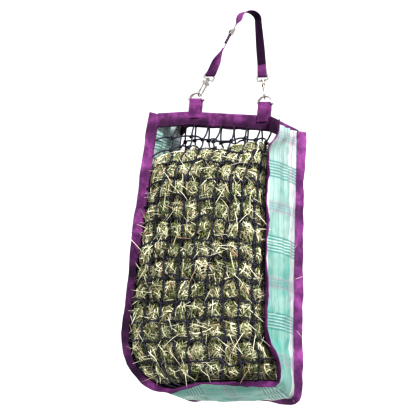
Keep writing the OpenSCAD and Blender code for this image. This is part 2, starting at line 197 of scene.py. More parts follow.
# ---- mesh building ----
def build(name, points, faces, material, body="bag", uv=None, tint=None, repair=True):
    mesh = bpy.data.meshes.new(name)
    mesh.from_pydata((np.asarray(points).reshape(-1, 3) * MM).tolist(), [], faces)
    if uv is not None:
        corner = np.zeros(len(mesh.loops), np.int32)
        mesh.loops.foreach_get("vertex_index", corner)
        mesh.uv_layers.new(name="cloth").data.foreach_set("uv", np.asarray(uv, np.float32)[corner].ravel())
    if tint is not None:
        values = np.asarray(tint, np.float32).ravel()
        mesh.attributes.new("tint", "FLOAT", "POINT").data.foreach_set("value", values)
    mesh.polygons.foreach_set("use_smooth", [True] * len(mesh.polygons))
    if repair:
        bm = bmesh.new()
        bm.from_mesh(mesh)
        bmesh.ops.recalc_face_normals(bm, faces=bm.faces)
        bm.to_mesh(mesh)
        bm.free()
    mesh.update()
    obj = bpy.data.objects.new(name, mesh)
    bpy.context.scene.collection.objects.link(obj)
    obj.data.materials.append(material)
    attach(obj, body)
    return obj


def wall_faces(m, n):
    """Faces between m closed loops of n points each."""
    return [
        (i * n + k, (i + 1) * n + k, (i + 1) * n + (k + 1) % n, i * n + (k + 1) % n)
        for i in range(m - 1)
        for k in range(n)
    ]


def loft_faces(m, n):
    """Faces of a loft whose first and last loops are capped by strips across them."""
    caps = [(k, k + 1, n - 2 - k, n - 1 - k) for k in range(n // 2 - 1)]
    faces = wall_faces(m, n) + [cap[::-1] for cap in caps]
    return faces + [tuple((m - 1) * n + k for k in cap) for cap in caps]


def ring_loft(m, n):
    """Faces of a loft whose caps are single polygons."""
    return wall_faces(m, n) + [tuple(range(n))[::-1], tuple((m - 1) * n + k for k in range(n))]


def sweep(path, width, section):
    """Loops of a section carried along a path. section holds (across, through) pairs for each station."""
    run = tangents(path)
    w = square_to(np.asarray(width, float), run)
    n = np.cross(run, w)
    section = np.broadcast_to(section, (len(path),) + np.shape(section)[-2:])
    return np.asarray(path)[:, None] + w[:, None] * section[..., :1] + n[:, None] * section[..., 1:]


def tubes(paths, radii, sides, lean=None):
    """Many tubes at once: paths (count, points, 3) and radii (count, points). Returns points, faces."""
    paths = np.asarray(paths, float)
    count, k, _ = paths.shape
    radii = np.broadcast_to(radii, (count, k))
    run = tangents(paths)
    ref = np.broadcast_to(np.array([0.31, 0.87, 0.38]) if lean is None else lean, paths.shape)
    a = unit(np.cross(run, ref))
    b = np.cross(run, a)
    angle = np.arange(sides) * 2 * math.pi / sides
    ring = a[:, :, None] * np.cos(angle)[:, None] + b[:, :, None] * np.sin(angle)[:, None]
    points = (paths[:, :, None] + ring * radii[..., None, None]).reshape(-1, 3)
    base = np.arange(count)[:, None, None] * k * sides
    i = np.arange(k - 1)[None, :, None] * sides
    j = np.arange(sides)[None, None, :]
    nxt = (j + 1) % sides
    quads = np.stack([base + i + j, base + i + nxt, base + i + sides + nxt, base + i + sides + j], -1)
    faces = quads.reshape(-1, 4).tolist()
    caps = (base[:, 0] + np.arange(sides)[None, ::-1]).reshape(-1, sides).tolist()
    caps += (base[:, 0] + (k - 1) * sides + np.arange(sides)[None, :]).reshape(-1, sides).tolist()
    return points, faces + caps


def join(parts):
    """One list of points and one of faces from several."""
    points, faces, first = [], [], 0
    for pts, fcs in parts:
        points.append(pts)
        faces += [[first + i for i in f] for f in fcs]
        first += len(pts)
    return np.concatenate(points), faces


def grid_uv(across, along):
    """Cloth coordinates of a grid of points, from places across each loop and places along it."""
    return np.stack(np.broadcast_arrays(across[None, :], along[:, None]), -1).reshape(-1, 2)


def around_share(sides):
    """How far round a cord each side lies, from 0 up to a half and back, so that no seam shows."""
    step = np.arange(sides)
    return np.minimum(step, sides - step) / sides


# ---- materials ----
class Look:
    """A node material around one Principled shader."""

    def __init__(self, name, roughness, metallic=0.0):
        self.material = bpy.data.materials.new(name)
        self.material.use_nodes = True
        self.tree = self.material.node_tree
        self.shader = self.tree.nodes["Principled BSDF"]
        self.set("Roughness", roughness)
        self.set("Metallic", metallic)

    def set(self, socket, value):
        self.shader.inputs[socket].default_value = value

    def put(self, target, value):
        if isinstance(value, bpy.types.NodeSocket):
            self.tree.links.new(value, target)
        elif value is not None:
            target.default_value = value

    def node(self, kind, out=0, inputs=(), **props):
        node = self.tree.nodes.new(kind)
        for key, value in props.items():
            setattr(node, key, value)
        for key, value in dict(inputs).items():
            self.put(node.inputs[key], value)
        return node.outputs[out]

    def math(self, operation, a, b=None, c=None):
        inputs = {i: v for i, v in enumerate((a, b, c)) if v is not None}
        return self.node("ShaderNodeMath", inputs=inputs, operation=operation)

    def blend(self, factor, a, b):
        return self.node("ShaderNodeMix", out=2, inputs={0: factor, 6: a, 7: b}, data_type="RGBA")

    def noise(self, scale, detail, vector=None, roughness=0.55):
        """Noise over the object's own coordinates, or over the ones given."""
        vector = self.place() if vector is None else vector
        inputs = {"Vector": vector, "Scale": scale, "Detail": detail, "Roughness": roughness}
        return self.node("ShaderNodeTexNoise", inputs=inputs)

    def ramp(self, value, low, high):
        """0 below low, 1 above high, smooth between."""
        inputs = {0: value, 1: low, 2: high, 3: 0.0, 4: 1.0}
        return self.node("ShaderNodeMapRange", inputs=inputs, interpolation_type="SMOOTHSTEP")

    def place(self):
        return self.node("ShaderNodeTexCoord", out=3)

    def axis(self, vector, which):
        return self.node("ShaderNodeSeparateXYZ", out=which, inputs={0: vector})

    def tint(self):
        return self.node("ShaderNodeAttribute", out=2, attribute_name="tint")

    def cloth(self):
        """The cloth's own coordinates in metres: across it and along it."""
        uv = self.node("ShaderNodeUVMap", uv_map="cloth")
        return self.axis(uv, 0), self.axis(uv, 1)

    def wave(self, coordinate, pitch):
        """A sine along a coordinate in metres, from 0 to 1."""
        turns = self.math("MULTIPLY", coordinate, 2 * math.pi / pitch)
        return self.math("MULTIPLY_ADD", self.math("SINE", turns), 0.5, 0.5)

    def bump(self, height, distance, strength):
        inputs = {"Strength": strength, "Distance": distance, "Height": height}
        self.put(self.shader.inputs["Normal"], self.node("ShaderNodeBump", inputs=inputs))

    def colour(self, value):
        self.put(self.shader.inputs["Base Color"], value)


def rgb(r, g, b):
    return (r, g, b, 1.0)


def purple_webbing(name, deep=rgb(0.028, 0.005, 0.034), lit=rgb(0.26, 0.07, 0.25)):
    """Woven polypropylene webbing. The tint attribute pulls it from lit towards deep and ink: as painted
    shade in the band's folds and on the binding's lower stretches, and on the strap's inner face, which is
    darker and is deepened by painted shade over the top and down the right leg.
    """
    ink, fray = rgb(0.01, 0.002, 0.014), rgb(0.42, 0.17, 0.42)
    look = Look(name, 0.6)
    look.set("Sheen Weight", 0.04)
    look.set("Specular IOR Level", 0.14)
    look.set("Sheen Roughness", 0.4)
    look.set("Sheen Tint", rgb(0.95, 0.6, 0.95))
    across, along = look.cloth()
    rib = look.wave(along, 0.0021)
    pick = look.wave(across, 0.0026)
    weave = look.math("MULTIPLY", rib, look.math("MULTIPLY_ADD", pick, 0.6, 0.4))
    patch = look.noise(26, 4)
    crease = look.noise(11, 5, roughness=0.7)
    thread = look.noise(420, 2)
    # Painted shadow: large patches and creases pull the webbing towards deep, as cast shadow and the shade of
    # its folds. The weave term is the cloth's own texture.
    shadow_patches = look.math("MULTIPLY", look.ramp(patch, 0.3, 0.66), look.ramp(crease, 0.36, 0.56))
    shade = look.math("ADD", look.math("MULTIPLY", weave, 0.38), look.math("MULTIPLY", shadow_patches, 0.62))
    tint = look.tint()
    # lit_share falls as the tint rises: painted shade, and the strap's darker inner face.
    lit_share = look.math("MULTIPLY_ADD", tint, -0.94, 1.0)
    base = look.blend(look.math("MULTIPLY", shade, lit_share), look.blend(tint, deep, ink), lit)
    worn = look.math("MULTIPLY", look.ramp(thread, 0.6, 0.75), look.math("MULTIPLY", lit_share, 0.35))
    look.colour(look.blend(worn, base, fray))
    look.bump(look.math("ADD", weave, look.math("MULTIPLY", crease, 1.6)), 0.0008, 0.8)
    return look.material


def plaid_mesh(name):
    """Vinyl-coated mesh cloth in a plaid of teal, grey and dusty pink on near white."""
    look = Look(name, 0.48)
    look.set("Coat Weight", 0.12)
    look.set("Coat Roughness", 0.35)
    across, along = look.cloth()

    def stripes(coordinate, period, shift):
        """Stripes that repeat every period metres. Their places and widths are shares of the period."""
        place = look.math("FRACT", look.math("MULTIPLY_ADD", coordinate, 1 / period, shift))

        def line(centre, half, soft=0.006):
            away = look.math("ABSOLUTE", look.math("SUBTRACT", place, centre))
            return look.math("SUBTRACT", 1.0, look.ramp(away, half, half + soft))

        def group(centre, gap, half, count):
            first = centre - gap * (count - 1) / 2
            total = line(first, half)
            for i in range(1, count):
                total = look.math("MAXIMUM", total, line(first + i * gap, half))
            return total

        return line, group

    line, group = stripes(across, 0.165, 0.13)
    teal_warp = line(0.53, 0.34, 0.02)
    pin_warp = group(0.50, 0.085, 0.006, 6)
    pale_warp = group(0.54, 0.17, 0.009, 3)
    grey_warp = group(1.02, 0.042, 0.010, 3)
    pink_warp = group(0.97, 0.09, 0.009, 2)
    line, group = stripes(along, 0.205, 0.02)
    teal_weft = line(0.40, 0.11, 0.02)
    pin_weft = group(0.40, 0.04, 0.007, 6)
    white_weft = group(0.40, 0.04, 0.004, 5)
    grey_weft = group(0.90, 0.036, 0.009, 3)
    pink_weft = group(0.90, 0.12, 0.008, 2)

    fade = look.noise(9, 3)
    white = look.blend(look.ramp(fade, 0.3, 0.7), rgb(0.33, 0.37, 0.38), rgb(0.52, 0.55, 0.54))
    teal, deep_teal = rgb(0.03, 0.225, 0.18), rgb(0.006, 0.13, 0.12)
    grey, pink = rgb(0.1, 0.11, 0.15), rgb(0.3, 0.13, 0.23)
    dark_gap, crease_shade_colour = rgb(0.12, 0.15, 0.15), rgb(0.10, 0.16, 0.15)
    height = look.axis(look.place(), 2)
    # The teal is full strength low on the bag and half as strong towards the top.
    teal_by_height = look.math("MULTIPLY_ADD", look.ramp(height, -0.78, -0.42), -0.5, 1.0)
    patchy = look.math("MULTIPLY_ADD", look.ramp(look.noise(14, 4), 0.35, 0.65), 0.3, 0.65)
    patchy = look.math("MULTIPLY", patchy, teal_by_height)
    colour = white
    for mask, strength, ink in (
        (teal_warp, patchy, teal),
        (teal_weft, 0.3, teal),
        (pale_warp, 0.6, white),
        (pin_warp, 0.5, deep_teal),
        (pin_weft, 0.72, deep_teal),
        (white_weft, 0.5, white),
        (grey_warp, 0.66, grey),
        (grey_weft, 0.4, grey),
        (pink_warp, 0.6, pink),
        (pink_weft, 0.4, pink),
    ):
        colour = look.blend(look.math("MULTIPLY", mask, strength), colour, ink)
    yarn = look.math("MULTIPLY", look.wave(across, 0.0024), look.wave(along, 0.0024))
    hole = look.ramp(yarn, 0.0, 0.22)
    colour = look.blend(look.math("MULTIPLY_ADD", hole, 0.22, 0.78), dark_gap, colour)
    stretch = {0: look.place(), 1: (1.0, 1.6, 0.55)}
    slack = look.node("ShaderNodeVectorMath", inputs=stretch, operation="MULTIPLY")
    # Painted shade: where the stretched crease noise is high the cloth is darkened towards a dark teal-grey,
    # as the shade in its creases.
    crease = look.noise(13, 5, slack, roughness=0.62)
    crease_shade = look.math("MULTIPLY", look.ramp(crease, 0.5, 0.63), 0.42)
    look.colour(look.blend(crease_shade, colour, crease_shade_colour))
    look.bump(look.math("ADD", yarn, look.math("MULTIPLY", crease, 14.0)), 0.0009, 0.7)
    return look.material


def hay_core_look(name):
    """The mass of hay behind the stems, coloured near black as painted shade of the hay's depths."""
    look = Look(name, 0.6)
    look.set("Specular IOR Level", 0.35)
    clump, straw = look.noise(70, 5), look.noise(240, 4)
    base = look.blend(look.ramp(clump, 0.35, 0.65), rgb(0.012, 0.012, 0.006), rgb(0.07, 0.068, 0.026))
    look.colour(look.blend(look.ramp(straw, 0.52, 0.7), base, rgb(0.19, 0.17, 0.075)))
    look.bump(look.math("ADD", clump, straw), 0.004, 1.0)
    return look.material


def hay_look(name):
    """Stems whose tint runs from deep green through green, brown and straw to bleached."""
    look = Look(name, 0.6)
    look.set("Specular IOR Level", 0.35)
    ramp = look.tree.nodes.new("ShaderNodeValToRGB")
    look.put(ramp.inputs[0], look.tint())
    stops = ramp.color_ramp.elements
    stops[0].position, stops[0].color = 0.0, rgb(0.022, 0.022, 0.009)
    stops[1].position, stops[1].color = 1.0, rgb(0.8, 0.8, 0.66)
    for place, ink in (
        (0.2, rgb(0.06, 0.075, 0.03)),
        (0.38, rgb(0.16, 0.2, 0.085)),
        (0.52, rgb(0.31, 0.345, 0.18)),
        (0.64, rgb(0.34, 0.215, 0.16)),
        (0.76, rgb(0.49, 0.48, 0.31)),
    ):
        stops.new(place).color = ink
    vary = look.noise(300, 2)
    shadow = look.math("MULTIPLY", look.ramp(vary, 0.4, 0.7), 0.3)
    look.colour(look.blend(shadow, ramp.outputs[0], rgb(0.08, 0.078, 0.03)))
    look.bump(vary, 0.0004, 0.5)
    return look.material


def braided_cord(name):
    strands, lay = 2, 0.005
    look = Look(name, 0.5)
    look.set("Specular IOR Level", 0.2)
    across, along = look.cloth()
    turn = look.math("MULTIPLY", across, 2 * math.pi * strands)
    rise = look.math("MULTIPLY", along, 2 * math.pi / lay)
    left = look.math("SINE", look.math("ADD", rise, turn))
    right = look.math("SINE", look.math("SUBTRACT", rise, turn))
    braid = look.math("MULTIPLY_ADD", look.math("MAXIMUM", left, right), 0.5, 0.5)
    fade = look.noise(30, 3)
    dark = look.blend(look.ramp(fade, 0.4, 0.7), rgb(0.006, 0.006, 0.011), rgb(0.02, 0.02, 0.034))
    look.colour(look.blend(look.math("MULTIPLY", braid, 0.5), dark, rgb(0.036, 0.036, 0.056)))
    look.bump(braid, 0.0005, 0.8)
    return look.material


def metal(name, colour, roughness, tarnish_and_dark_reflection):
    look = Look(name, roughness, 1.0)
    cast = look.noise(160, 4)
    # Partly tarnish and partly painted dark reflection: noise patches pull the metal towards a dark brown,
    # giving dark accents the white surround would not reflect.
    stain = look.ramp(look.noise(95, 5), 0.44, 0.66)
    look.colour(look.blend(look.math("MULTIPLY", stain, 0.7), colour, tarnish_and_dark_reflection))
    rough = look.math("MULTIPLY_ADD", stain, 0.22, roughness)
    look.put(look.shader.inputs["Roughness"], look.math("MULTIPLY_ADD", cast, 0.08, rough))
    look.bump(cast, 0.00025, 0.35)
    return look.material


def thread_look(name, colour):
    look = Look(name, 0.55)
    twist = look.noise(900, 1)
    look.colour(look.blend(look.math("MULTIPLY", twist, 0.3), colour, rgb(0.3, 0.14, 0.3)))
    look.bump(twist, 0.0002, 0.5)
    return look.material


def floor_look(name):
    look = Look(name, 0.8)
    speck = look.noise(3, 3)
    look.colour(look.blend(speck, rgb(0.5, 0.5, 0.49), rgb(0.56, 0.56, 0.55)))
    look.bump(look.noise(60, 2), 0.001, 0.2)
    return look.material


WEBBING = purple_webbing("purple_woven_webbing")
BINDING = purple_webbing("purple_binding_tape", rgb(0.035, 0.006, 0.042), rgb(0.265, 0.07, 0.255))
PLAID = plaid_mesh("plaid_vinyl_mesh")
HAY = hay_look("hay_stems")
HAY_CORE = hay_core_look("hay_deep")
CORD = braided_cord("net_cord_braid")
NICKEL = metal("nickel_plate", rgb(0.52, 0.49, 0.46), 0.18, rgb(0.07, 0.05, 0.035))
STEEL = metal("bright_steel", rgb(0.36, 0.35, 0.34), 0.28, rgb(0.1, 0.08, 0.07))
THREAD = thread_look("purple_thread", rgb(0.035, 0.006, 0.04))


# ---- camera, lights and floor ----
def set_camera():
    """The photograph's view: from the right and a little below, turned slightly about its own axis."""
    azimuth, elevation, roll = math.radians(21.8), math.radians(-10.0), math.radians(5.5)
    aim, distance = Vector((-0.0699, 0, -0.5776)), 3.238
    level = math.cos(elevation)
    back = Vector((math.sin(azimuth) * level, -math.cos(azimuth) * level, math.sin(elevation)))
    data = bpy.data.cameras.new("camera")
    data.lens, data.clip_start, data.clip_end = 99.5, 0.1, 100
    camera = bpy.data.objects.new("camera", data)
    camera.rotation_mode = "QUATERNION"
    turn = (-back).to_track_quat("-Z", "Y").to_matrix() @ Matrix.Rotation(roll, 3, "Z")
    camera.rotation_quaternion = turn.to_quaternion()
    camera.location = aim + back * distance
    bpy.context.scene.collection.objects.link(camera)
    bpy.context.scene.camera = camera


def area_light(name, place, size, power, tone):
    """A square light that faces the middle of the bag."""
    data = bpy.data.lights.new(name, "AREA")
    data.size, data.energy, data.color = size, power, tone
    light = bpy.data.objects.new(name, data)
    light.location = place
    light.rotation_mode = "QUATERNION"
    light.rotation_quaternion = (Vector((0, 0, -0.6)) - Vector(place)).to_track_quat("-Z", "Y")
    bpy.context.scene.collection.objects.link(light)


def set_stage():
    bpy.context.scene.view_settings.view_transform = "Standard"
    bpy.context.scene.view_settings.look = "High Contrast"
    area_light("key", (2.5, -2.4, 2.6), 0.7, 420, (1.0, 0.97, 0.93))
    area_light("back_fill", (-1.2, 3.2, 1.4), 2.0, 90, (1.0, 0.98, 0.95))
    world = bpy.data.worlds.new("studio")
    world.use_nodes = True
    sky = world.node_tree.nodes["Background"]
    sky.inputs["Color"].default_value = rgb(0.97, 0.98, 1.0)
    sky.inputs["Strength"].default_value = 0.9
    bpy.context.scene.world = world
    bpy.ops.mesh.primitive_grid_add(x_subdivisions=8, y_subdivisions=8, size=30, location=(0, 0, -1.95))
    floor = bpy.context.object
    floor.name = "floor"
    floor.data.materials.append(floor_look("pale_floor"))


# ---- the knotted nets ----
def net_shifts(side):
    """How far each crossing of a net lies off its even place, in cells across and down."""
    rng = np.random.default_rng(SHIFT_SEED + side)
    shift = rng.normal(0, 1, (COLUMNS + 1, ROWS + 1, 2)) * np.array([0.085, 0.075])
    rows = np.arange(ROWS + 1)
    shift[:, :, 0] += 0.10 * np.where(rows % 2 == 0, 1, -1) * np.exp(-rows / 2.2)
    shift[:, :, 1] -= (ROW_RISE * (1 - rows / ROWS) * smooth(rows / 3))[None, :]
    shift[:, 0] = 0
    shift[:, -1] = 0
    shift[0, :, 0] = 0
    shift[-1, :, 0] = 0
    return shift


SHIFTS = {side: net_shifts(side) for side, _ in FACES}


def net_place(a, b, side):
    """u and t of a place given in cells: a across the net, b down it."""
    a, b = np.clip(a, 0, COLUMNS), np.clip(b, 0, ROWS)
    i, j = np.minimum(a.astype(int), COLUMNS - 1), np.minimum(b.astype(int), ROWS - 1)
    fa, fb = (a - i)[..., None], (b - j)[..., None]
    s = SHIFTS[side]
    above = s[i, j] * (1 - fa) * (1 - fb) + s[i + 1, j] * fa * (1 - fb)
    shift = above + s[i, j + 1] * (1 - fa) * fb + s[i + 1, j + 1] * fa * fb
    return 2 * (a + shift[..., 0]) / COLUMNS - 1, (b + shift[..., 1]) / ROWS


def hay_top_row(a):
    """How many rows down the net the hay's top lies: a hump right of the middle, low at the left."""
    hump = np.exp(-(((a - 6.9) / 1.7) ** 2))
    return 2.15 - 0.6 * hump + 0.6 * (1 - smooth(a / 2.6)) + 0.25 * smooth((a - 8.0) / 1.0)


def make_net(side, face):
    rng = np.random.default_rng(BOW_SEED + side)
    paths = []
    for c in range(1, COLUMNS):
        b = np.arange(ROWS * CORD_STEPS + 1) / CORD_STEPS
        bow = rng.normal(0, 0.07, ROWS)[np.minimum(b.astype(int), ROWS - 1)] + 0.03
        paths.append((c + bow * np.sin(math.pi * (b % 1)), b))
    for r in range(1, ROWS):
        a = np.arange(COLUMNS * CORD_STEPS + 1) / CORD_STEPS
        bow = rng.normal(0.075, 0.1, COLUMNS)[np.minimum(a.astype(int), COLUMNS - 1)]
        paths.append((a, r - bow * np.sin(math.pi * (a % 1)) + 0.02 * np.sin(a * 5 + r)))
    parts, uvs = [], []
    for a, b in paths:
        u, t = net_place(a, b, side)
        held = smooth((b - hay_top_row(a)) / 0.6)
        mid = np.sin(math.pi * (a % 1)) + np.sin(math.pi * (b % 1))
        line = panel(u, t, side) + panel_out(u, t, side) * (held * (1.6 + 2.2 * mid))[:, None]
        parts.append(tubes(line[None], CORD_D / 2 * CORD_SWELL, CORD_SIDES))
        uvs.append(grid_uv(around_share(CORD_SIDES), run_length(line) * MM))
    # each crossing is tied in a sheet bend: two tight turns of cord over each other
    c, r = (v.ravel() for v in np.meshgrid(np.arange(1, COLUMNS), np.arange(1, ROWS), indexing="ij"))
    u, t = net_place(c.astype(float), r.astype(float), side)
    centre, (across, down, out) = panel(u, t, side), panel_frame(u, t, side)
    angle = np.linspace(0.2, 2 * math.pi - 0.35, KNOT_POINTS)[None, :]
    for slant, lift in ((0.7, 0.6), (-0.8, -0.5)):
        wobble = rng.uniform(0.85, 1.2, len(c))[:, None]
        flat = unit(across * math.cos(slant) + down * math.sin(slant))[:, None]
        rise = unit(out + 0.25 * down)[:, None]
        axis = np.cross(flat, rise)
        loop = (
            centre[:, None]
            + out[:, None] * lift
            + flat * (np.cos(angle) * KNOT_W * wobble)[..., None]
            + rise * (np.sin(angle) * KNOT_H * wobble)[..., None]
            + axis * np.linspace(-1.3, 1.3, KNOT_POINTS)[None, :, None]
        )
        parts.append(tubes(loop, KNOT_R, KNOT_SIDES, lean=axis))
        around = np.tile(around_share(KNOT_SIDES), len(c) * KNOT_POINTS)
        along = np.repeat(np.tile(np.arange(KNOT_POINTS) * KNOT_STEP * MM, len(c)), KNOT_SIDES)
        uvs.append(np.stack([around, along], -1))
    points, faces = join(parts)
    uv = np.concatenate(uvs)
    net = build(f"{face}_knotted_net", points, faces, CORD, uv=uv, repair=False)
    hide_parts(f"{face}_net")


# ---- the hay ----
TUFTS = {
    side: np.random.default_rng(TUFT_SEED + side).uniform(0.65, 1.3, (COLUMNS, ROWS)) for side, _ in FACES
}


def hay_surface(a, b, side, lift):
    """A point on the hay, which bulges through each cell of the net and dips behind its cords."""
    u, t = net_place(a, b, side)
    i, j = np.clip(a.astype(int), 0, COLUMNS - 1), np.clip(b.astype(int), 0, ROWS - 1)
    mid = np.clip(np.sin(math.pi * (a % 1)) * np.sin(math.pi * (b % 1)), 0, 1)
    swell = np.sqrt(mid) * TUFTS[side][i, j]
    edge = smooth((a + 0.25) / 0.5) * smooth((COLUMNS - 0.1 - a) / 0.5) * smooth((ROWS - 0.15 - b) / 0.4)
    depth = -12.5 + 18.5 * swell * edge - 3.0 * (1 - edge) + lift
    place = panel(u, t, side) + panel_out(u, t, side) * depth[..., None]
    left, right = panel(-1.0, t, side)[..., 0], panel(1.0, t, side)[..., 0]
    place[..., 0] = np.clip(place[..., 0], left + HAY_GAP, right - HAY_GAP)
    return place


def make_hay_core():
    a = np.arange(0.12, COLUMNS - 0.11, 0.17)
    top = hay_top_row(a) + HAY_TOP_SINK

    def level(share):
        b = mix(top, ROWS - 0.3, share)
        return [hay_surface(a, b, side, HAY_CORE_LIFT) for side, _ in FACES]

    front, back = level(0.0)
    middle = (front + back) / 2
    loops = []
    for close in (0.9, 0.68, 0.45, 0.2):
        heap = np.array([noise.noise(Vector((x * 0.021, close * 3, 2.0))) for x in middle[:, 0]])
        rise = np.array([0, 0, 1.0]) * (heap * 9 + 9 * close)[:, None]
        raised = [mix(face, middle, close) + rise for face in (front, back)]
        loops.append(np.concatenate([raised[0], raised[1][::-1]]))
    for share in np.arange(0, 1.0001, 1 / HAY_LEVELS):
        front, back = level(share)
        loops.append(np.concatenate([front, back[::-1]]))
    core = build("hay_core", loops, loft_faces(len(loops), 2 * len(a)), HAY_CORE)
    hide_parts("hay_fill")


def stem_tints(rng, count):
    """Mostly green and straw stems, with some brown and a few bright ones."""
    tint = rng.beta(1.6, 2.3, count)
    bright = rng.random(count) < 0.27
    return np.where(bright, rng.uniform(0.82, 1.0, count), tint)


def build_stems(name, line, radius, tint, lean=None):
    points, faces = tubes(line, radius, STEM_SIDES, lean=lean)
    tint = np.repeat(tint, line.shape[1] * STEM_SIDES)
    build(name, points, faces, HAY, tint=tint, repair=False)


def make_stems(name, side, per_cell, first_column, last_column, seed):
    """Cut stems lying round the tufts of hay behind each cell."""
    rng = np.random.default_rng(seed)
    cells = [
        (i, j)
        for i in range(first_column, last_column)
        for j in range(ROWS)
        if j + 1 > hay_top_row(np.array(i + 0.5))
    ]
    cell = np.repeat(np.array(cells), per_cell, axis=0)
    count = len(cell)
    grain = rng.uniform(0, math.pi, (COLUMNS, ROWS))[cell[:, 0], cell[:, 1]]
    away = rng.uniform(-0.44, 0.44, (count, 2))
    a0, b0 = cell[:, 0] + 0.5 + away[:, 0], cell[:, 1] + 0.5 + away[:, 1]
    around = np.arctan2(away[:, 1], away[:, 0]) + math.pi / 2
    follow = rng.random(count) < 0.45
    heading = np.where(follow, around + rng.normal(0, 0.5, count), grain + rng.normal(0, 0.8, count))
    length = rng.gamma(5.0, 0.145, count).clip(0.25, 1.5)
    bend = rng.normal(0, 0.35, count) + np.where(follow, -0.55 * length, 0)
    s = np.linspace(-0.5, 0.5, 5)[None]
    run = s * length[:, None]
    arc = bend[:, None] * (s**2 - 0.08) * length[:, None]
    a = a0[:, None] + run * np.cos(heading)[:, None] - arc * np.sin(heading)[:, None]
    b = b0[:, None] + run * np.sin(heading)[:, None] + arc * np.cos(heading)[:, None]
    a = np.clip(a, 0.12, COLUMNS - 0.12)
    top = hay_top_row(a)
    b = np.clip(np.where(b < top - 0.25, top - 0.25 + 0.25 * (b - top), b), 0.6, ROWS - 0.12)
    lift = rng.uniform(-3.0, 3.5, count)[:, None] + rng.normal(0, 1.6, (count, 1)) * (4 * s**2)
    line = hay_surface(a, b, side, lift)
    taper = np.array([0.55, 1.0, 1.05, 0.95, 0.4])
    radius = rng.gamma(4.5, 0.21, count).clip(0.4, 1.9)[:, None] * taper
    lean = panel_out(*net_place(a, b, side), side) + rng.normal(0, 0.3, (count, 1, 3))
    build_stems(name, line, radius, stem_tints(rng, count), lean)


def make_stray_stems(name, side, count, seed):
    """Bright stems that poke out through the net."""
    rng = np.random.default_rng(seed)
    by_the_seam = rng.random(count) < 0.16
    near, anywhere = rng.uniform(0.06, 0.6, count), rng.uniform(0.35, COLUMNS - 0.35, count)
    a0 = np.where(by_the_seam, near, anywhere)
    b0 = hay_top_row(a0) + 0.1 + rng.uniform(0, 1, count) ** 0.8 * (ROWS - 0.6 - hay_top_row(a0))
    start = hay_surface(a0, b0, side, 0.0)
    across, down, out = panel_frame(*net_place(a0, b0, side), side)
    heading = rng.uniform(0, 2 * math.pi, count)[:, None]
    flat = across * np.cos(heading) + down * np.sin(heading)
    along = unit(flat + out * rng.uniform(0.02, 0.38, count)[:, None])
    length = rng.uniform(22, 62, count)[:, None, None]
    s = np.linspace(0, 1, 6)[None, :, None]
    curve = rng.normal(0, 0.16, (count, 1, 1))
    line = (
        start[:, None]
        + along[:, None] * s * length
        + np.cross(along, out)[:, None] * curve * s**2 * length
    )
    line[..., 2] -= (s**2 * length * 0.12)[..., 0]
    line[..., 1] = np.clip(line[..., 1], -STRAY_Y, STRAY_Y)
    radius = rng.uniform(0.5, 1.15, count)[:, None] * np.array([1, 1, 1, 0.95, 0.8, 0.35])
    bright = rng.random(count) < 0.8
    tint = np.where(bright, rng.uniform(0.8, 1, count), rng.uniform(0.3, 0.7, count))
    build_stems(name, line, radius, tint)


def make_top_stems(count, seed):
    """Stems heaped on top of the hay under the pinched mouth."""
    rng = np.random.default_rng(seed)
    a0 = rng.uniform(0.4, COLUMNS - 0.4, count)
    top = hay_top_row(a0) + HAY_TOP_SINK
    front, back = (hay_surface(a0, top, side, 0.0) for side, _ in FACES)
    start = mix(front, back, rng.uniform(0.02, 0.98, count)[:, None])
    start[:, 2] += rng.uniform(-8, 14, count)
    heading = rng.uniform(0, 2 * math.pi, count)
    rise = rng.normal(0.12, 0.3, count)
    along = unit(np.stack([np.cos(heading), 0.55 * np.sin(heading), rise], -1))
    length = rng.uniform(24, 60, count)[:, None, None]
    s = np.linspace(-0.5, 0.5, 5)[None, :, None]
    side = unit(np.cross(along, np.array([0, 0, 1.0])))[:, None]
    curve = rng.normal(0, 0.3, (count, 1, 1))
    line = start[:, None] + along[:, None] * s * length + side * curve * s**2 * length
    line[..., 2] -= 18 * s[..., 0] ** 2
    radius = rng.uniform(0.5, 1.3, count)[:, None] * np.array([0.5, 1, 1, 1, 0.4])
    build_stems("hay_top_stems", line, radius, stem_tints(rng, count))


# ---- the outline of a panel, down its left seam, along its bottom and up its right seam ----
def outline(side, pitch):
    """A panel's seam line, its side at each point (-1 left, 0 bottom, 1 right) and its running length."""
    corner = 0.8 + 0.2 * np.sin(np.linspace(0, math.pi / 2, 90)[1:])
    t_down = np.concatenate([np.linspace(SEAM_ABOVE, 0.8, 130), corner])
    left = panel(-1.0, t_down, side)
    bottom = panel(np.linspace(-1, 1, 120)[1:-1], 1.0, side)
    right = panel(1.0, t_down[::-1], side)
    line = np.concatenate([left, bottom, right])
    kind = np.concatenate([np.full(len(left), -1.0), np.zeros(len(bottom)), np.ones(len(right))])
    relax(line, 6)
    length = run_length(line)
    at = np.linspace(0, length[-1], int(length[-1] / pitch) + 1)
    return resample(at, length, line), np.interp(at, length, kind), at


def outline_out(path):
    """The direction out of the bag in the panel's own plane."""
    run = tangents(path)
    flat = unit(np.stack([run[:, 0], 0 * run[:, 0], run[:, 2]], -1))
    return np.stack([flat[:, 2], 0 * flat[:, 0], -flat[:, 0]], -1)


def rounded_strip(inner, outer, thick, pinch, pinch_at):
    """A flat strip's section with a folded, rounded outer edge and a sewn dent near the inner one."""
    half = thick / 2
    across = np.linspace(inner, outer - half, 9)
    dent = half * (1 - pinch * np.exp(-(((across - pinch_at) / 1.6) ** 2)))
    top = np.stack([across, dent], -1)
    nose = np.stack([outer - half + half * np.cos(EDGE_TURN), half * np.sin(EDGE_TURN)], -1)
    return np.concatenate([top, nose, top[::-1] * np.array([1, -1])])


def build_strip(name, loops, faces, material, section, at, body="bag", tint=None):
    """A strip of cloth made of loops of one section, each at its place along the strip."""
    uv = grid_uv(run_length(section) * MM, at * MM)
    return build(name, loops, faces, material, body=body, uv=uv, tint=tint)


